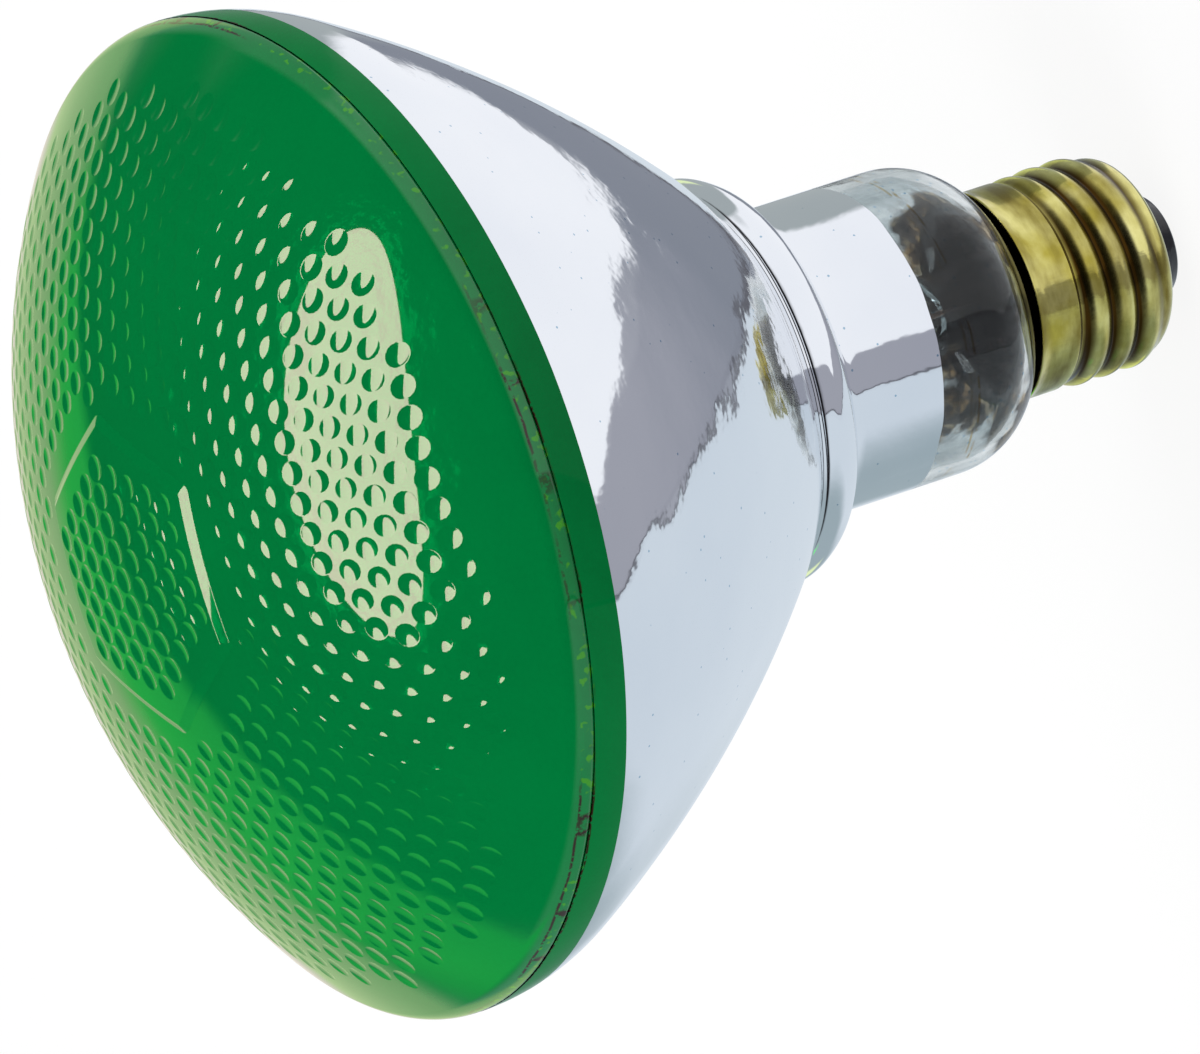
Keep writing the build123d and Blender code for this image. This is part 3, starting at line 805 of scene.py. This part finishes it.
smoked_glass, tree, shader = new_material("smoked_glass")
level = math_node(tree, "MULTIPLY_ADD", noise(tree, 150.0, 7.0), -0.016, height_up(tree))
smoke = two_tone(tree, noise(tree, 330.0, 5.0), 0.5, (0.002, 0.0015, 0.001, 1), 0.72, (0.12, 0.07, 0.02, 1))
smoked = mix_colour(tree, mask(tree, level, 0.027, 0.021), (0.7, 0.75, 0.76, 1), smoke)
feed(tree, shader, {"Base Color": smoked, "Roughness": 0.04})
feed(tree, shader, {"IOR": clear_glass_ior, "Transmission Weight": 1.0})
finish_nodes(smoked_glass, "stem", "exhaust_tube")


# Wires: copper leads and copper clad seals, plated inner leads and supports, a fuse link in the side lead, and
# a coiled tungsten filament.

coil_wire = 0.07
coil_pitch = 0.22
coil_turn_steps = 12
wire_sides = 6

copper_wire, _, _ = dull_metal("copper_wire", 300.0, (0.75, 0.36, 0.2, 1), (0.4, 0.17, 0.08, 1), 0.3)
finish_nodes(copper_wire, "centre_lead", "side_lead", "dumet_seal_left", "dumet_seal_right", "fuse_link")

plated_wire, _, _ = dull_metal("plated_wire", 300.0, (0.66, 0.66, 0.62, 1), (0.45, 0.44, 0.4, 1), 0.28)
finish_nodes(plated_wire, "inner_lead_left", "inner_lead_right", "support_wire_left", "support_wire_right")

tungsten, _, _ = dull_metal("tungsten", 900.0, (0.3, 0.3, 0.31, 1), (0.16, 0.16, 0.18, 1), 0.45)

filament_low, filament_high = (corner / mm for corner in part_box("filament"))
coil_radius = (filament_high.x - filament_low.x) / 2
coil_z = (filament_low.z + filament_high.z) / 2
coil_turns = (filament_high.y - filament_low.y - 2 * coil_wire) / coil_pitch
coil_steps = int(coil_turns * coil_turn_steps)
angle = np.linspace(0, coil_turns * 2 * np.pi, coil_steps)
out = np.stack([np.cos(angle), np.zeros_like(angle), np.sin(angle)], -1)
line = out * (coil_radius - coil_wire)
line[:, 1] = filament_low.y + coil_wire + angle / (2 * np.pi) * coil_pitch
line[:, 2] += coil_z
coil_points = []
for side in evenly_round(wire_sides):
    coil_points.append(line + coil_wire * (math.cos(side) * out + math.sin(side) * np.array([0, 1, 0])))
coil_points = np.stack(coil_points, 1).reshape(-1, 3)
coil_faces = []
for row in range(coil_steps - 1):
    coil_faces += ring_faces(row * wire_sides, (row + 1) * wire_sides, wire_sides)
coil_end = (coil_steps - 1) * wire_sides
coil_faces += [list(range(wire_sides)), list(range(coil_end, coil_end + wire_sides))[::-1]]
filament = make_piece("filament", coil_points, coil_faces, None, tungsten)
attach(filament, "root")
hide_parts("filament")


# Floor: a plain pale sheet under the contact. It keeps the bulb's soft shadow, and mirrored glass doesn't show
# it.

floor_reach = 9.0
floor_mesh = bpy.data.meshes.new("floor")
floor_corners = [(x * floor_reach, y * floor_reach, 0) for x, y in ((-1, -1), (1, -1), (1, 1), (-1, 1))]
floor_mesh.from_pydata(floor_corners, [], [(0, 1, 2, 3)])
floor = bpy.data.objects.new("floor", floor_mesh)
floor.location.z = -0.0001
bpy.context.scene.collection.objects.link(floor)
floor.visible_glossy = False
pale_floor, tree, shader = new_material("pale_floor")
ray = place(tree, "LightPath")
seen = math_node(tree, "MAXIMUM", ray.outputs["Is Camera Ray"], ray.outputs["Is Transmission Ray"])
glow = place(tree, "MapRange", {"Value": seen, 3: 0.3, 4: 0.87}).outputs[0]
feed(tree, shader, {"Base Color": (0.14, 0.14, 0.14, 1), "Roughness": 0.9, "Specular IOR Level": 0.0})
feed(tree, shader, {"Emission Color": (1, 1, 1, 1), "Emission Strength": glow})
floor_mesh.materials.append(pale_floor)


# Light: an elliptical soft box over the lens makes its highlight, and three fills light the rest. The studio
# is plain for the camera. Mirror rays find it white low down and dark overhead, with a grey card on each side,
# and beyond the bulb a green screen over a pale horizon, which colour the rim of the lens.

soft_box = bpy.data.lights.new("soft_box", "AREA")
soft_box.shape = "ELLIPSE"
soft_box.size = 1.02
soft_box.size_y = 0.42
soft_box.color = (1.0, 0.75, 0.66)
soft_box.energy = 13.0
box_lamp = bpy.data.objects.new("soft_box", soft_box)
box_lamp.location = (0.185, 0.075, 1.12)
box_lamp.rotation_euler = (0, 0, math.radians(-9))
box_lamp.visible_camera = False
box_lamp.visible_diffuse = False
bpy.context.scene.collection.objects.link(box_lamp)

fills_aim = Vector((0, 0, 0.12))
for name, spot, size, energy in (
    ("top_fill", (0.0, 0.0, 1.12), 0.7, 3.2),
    ("left_fill", (-1.35, -0.38, 0.6), 0.8, 11.5),
    ("right_fill", (1.35, -0.38, 0.6), 0.8, 11.5),
):
    fill = bpy.data.lights.new(name, "AREA")
    fill.size = size
    fill.energy = energy
    fill_lamp = bpy.data.objects.new(name, fill)
    fill_lamp.location = spot
    fill_lamp.rotation_euler = (fills_aim - Vector(spot)).to_track_quat("-Z", "Y").to_euler()
    fill_lamp.visible_camera = False
    fill_lamp.visible_glossy = False
    bpy.context.scene.collection.objects.link(fill_lamp)

world = bpy.data.worlds.new("studio")
bpy.context.scene.world = world
world.use_nodes = True
tree = world.node_tree
dx, dy, dz = place(tree, "SeparateXYZ", {0: place(tree, "TexCoord").outputs["Generated"]}).outputs
ray = place(tree, "LightPath")


def soft_step(value, off, full):
    return mask(tree, value, off, full, interpolation_type="SMOOTHSTEP")


def right_of(points):
    """How far a direction lies to the right of a border. The border goes in straight pieces through points,
    each given as dy and dx."""
    ramp = place(tree, "ValToRGB", {"Fac": math_node(tree, "MULTIPLY_ADD", dy, 0.5, 0.5)})
    stops = ramp.color_ramp.elements
    while len(stops) < len(points):
        stops.new(0.5)
    for stop, (at, level) in zip(stops, points):
        stop.position = (at + 1) / 2
        shade = (level + 1) / 2
        stop.color = (shade, shade, shade, 1)
    border_x = math_node(tree, "MULTIPLY_ADD", ramp.outputs["Color"], 2.0, -1.0)
    return math_node(tree, "SUBTRACT", dx, border_x)


white_edge = [(-0.87, -0.11), (-0.57, -0.18), (-0.1, 0.03), (0.03, 0.13)]
white_edge += [(0.12, 0.21), (0.34, 0.305), (0.62, 0.345), (0.8, 0.3)]
card_edge = [(-0.69, -0.54), (-0.42, -0.46), (-0.04, -0.23), (0.03, -0.15)]
card_edge += [(0.1, -0.09), (0.2, 0.01), (0.37, 0.11), (0.6, 0.17)]
right_end = [(0.0, 1.0), (0.24, 0.82), (0.45, 0.67), (0.64, 0.46), (0.8, 0.2)]
left_end = [(-0.4, -0.95), (0.1, -0.8), (0.5, -0.62), (0.8, -0.25)]

past_card = right_of(card_edge)
card = mix_colour(tree, soft_step(dy, -0.1, 0.4), (0.38, 0.385, 0.44, 1), (0.25, 0.27, 0.32, 1))
mirrored = mix_colour(tree, soft_step(past_card, -0.006, 0.008), (0.68, 0.75, 0.82, 1), card)
mirrored = mix_colour(tree, soft_step(right_of(white_edge), -0.01, 0.012), mirrored, (0.97, 0.98, 1.02, 1))
edge_line = soft_step(math_node(tree, "ABSOLUTE", past_card), 0.003, 0.012)
edge_line = math_node(tree, "SUBTRACT", 1.0, edge_line)
mirrored = mix_colour(tree, edge_line, mirrored, (0.12, 0.12, 0.14, 1))
mirrored = mix_colour(tree, soft_step(right_of(right_end), -0.03, 0.03), mirrored, (0.4, 0.44, 0.45, 1))
mirrored = mix_colour(tree, soft_step(right_of(left_end), 0.16, -0.12), mirrored, (0.36, 0.44, 0.48, 1))
overhead = math_node(tree, "MULTIPLY", soft_step(dz, -0.05, 0.25), soft_step(dy, 0.45, 0.7))
overhead = math_node(tree, "MAXIMUM", overhead, soft_step(dz, 0.25, 0.5))
mirrored = mix_colour(tree, overhead, mirrored, (0.012, 0.012, 0.014, 1))

# How far a direction points away beyond the bulb, and what stands there, from the floor's far end upward
beyond = math_node(tree, "MULTIPLY", dy, 0.884)
beyond = math_node(tree, "ADD", beyond, math_node(tree, "MULTIPLY", dz, -0.468))
above_floor = soft_step(dz, -0.455, -0.39)
horizon = math_node(tree, "MULTIPLY", soft_step(beyond, 0.68, 0.78), above_floor)
mirrored = mix_colour(tree, horizon, mirrored, (0.85, 0.98, 0.55, 1))
ahead = soft_step(math_node(tree, "ADD", beyond, math_node(tree, "MULTIPLY", dx, -0.35)), 0.52, 0.6)
screen = math_node(tree, "MULTIPLY", ahead, soft_step(dz, 0.05, 0.3))
mirrored = mix_colour(tree, screen, mirrored, (0.12, 1.3, 0.15, 1))
skyline = math_node(tree, "MULTIPLY", soft_step(beyond, 0.955, 0.99), above_floor)
mirrored = mix_colour(tree, skyline, mirrored, (1.0, 0.88, 0.8, 1))

lit_by = mix_colour(tree, ray.outputs["Is Glossy Ray"], (0.5, 0.5, 0.5, 1), mirrored)
seen = math_node(tree, "MAXIMUM", ray.outputs["Is Camera Ray"], ray.outputs["Is Transmission Ray"])
shown = mix_colour(tree, seen, lit_by, (0.95, 0.95, 0.95, 1))
feed(tree, tree.nodes["Background"], {"Color": shown, "Strength": 1.0})


# Camera: a long lens, above and in front of the bulb and rolled over, so that the contact points to the
# right.

camera_right = Vector((-0.3087, -0.4447, -0.8404))
camera_forward = Vector((0.0, 0.884, -0.468)).normalized()
camera_roll = 0.004
camera_place = Vector((-11.35, -2224.7, 1260.5)) * mm
camera_right = (camera_right - camera_right.dot(camera_forward) * camera_forward).normalized()
camera_right = (camera_right - camera_roll * camera_right.cross(camera_forward)).normalized()
camera_up = camera_right.cross(camera_forward).normalized()
camera_data = bpy.data.cameras.new("camera")
camera_data.lens = 648.0
camera_data.sensor_width = 36.0
camera_data.clip_start = 0.1
camera_data.clip_end = 60.0
camera = bpy.data.objects.new("camera", camera_data)
columns = Matrix((camera_right, camera_up, -camera_forward)).transposed()
camera.matrix_world = Matrix.Translation(camera_place) @ columns.to_4x4()
bpy.context.scene.collection.objects.link(camera)
bpy.context.scene.camera = camera
bpy.context.scene.view_settings.view_transform = "Standard"
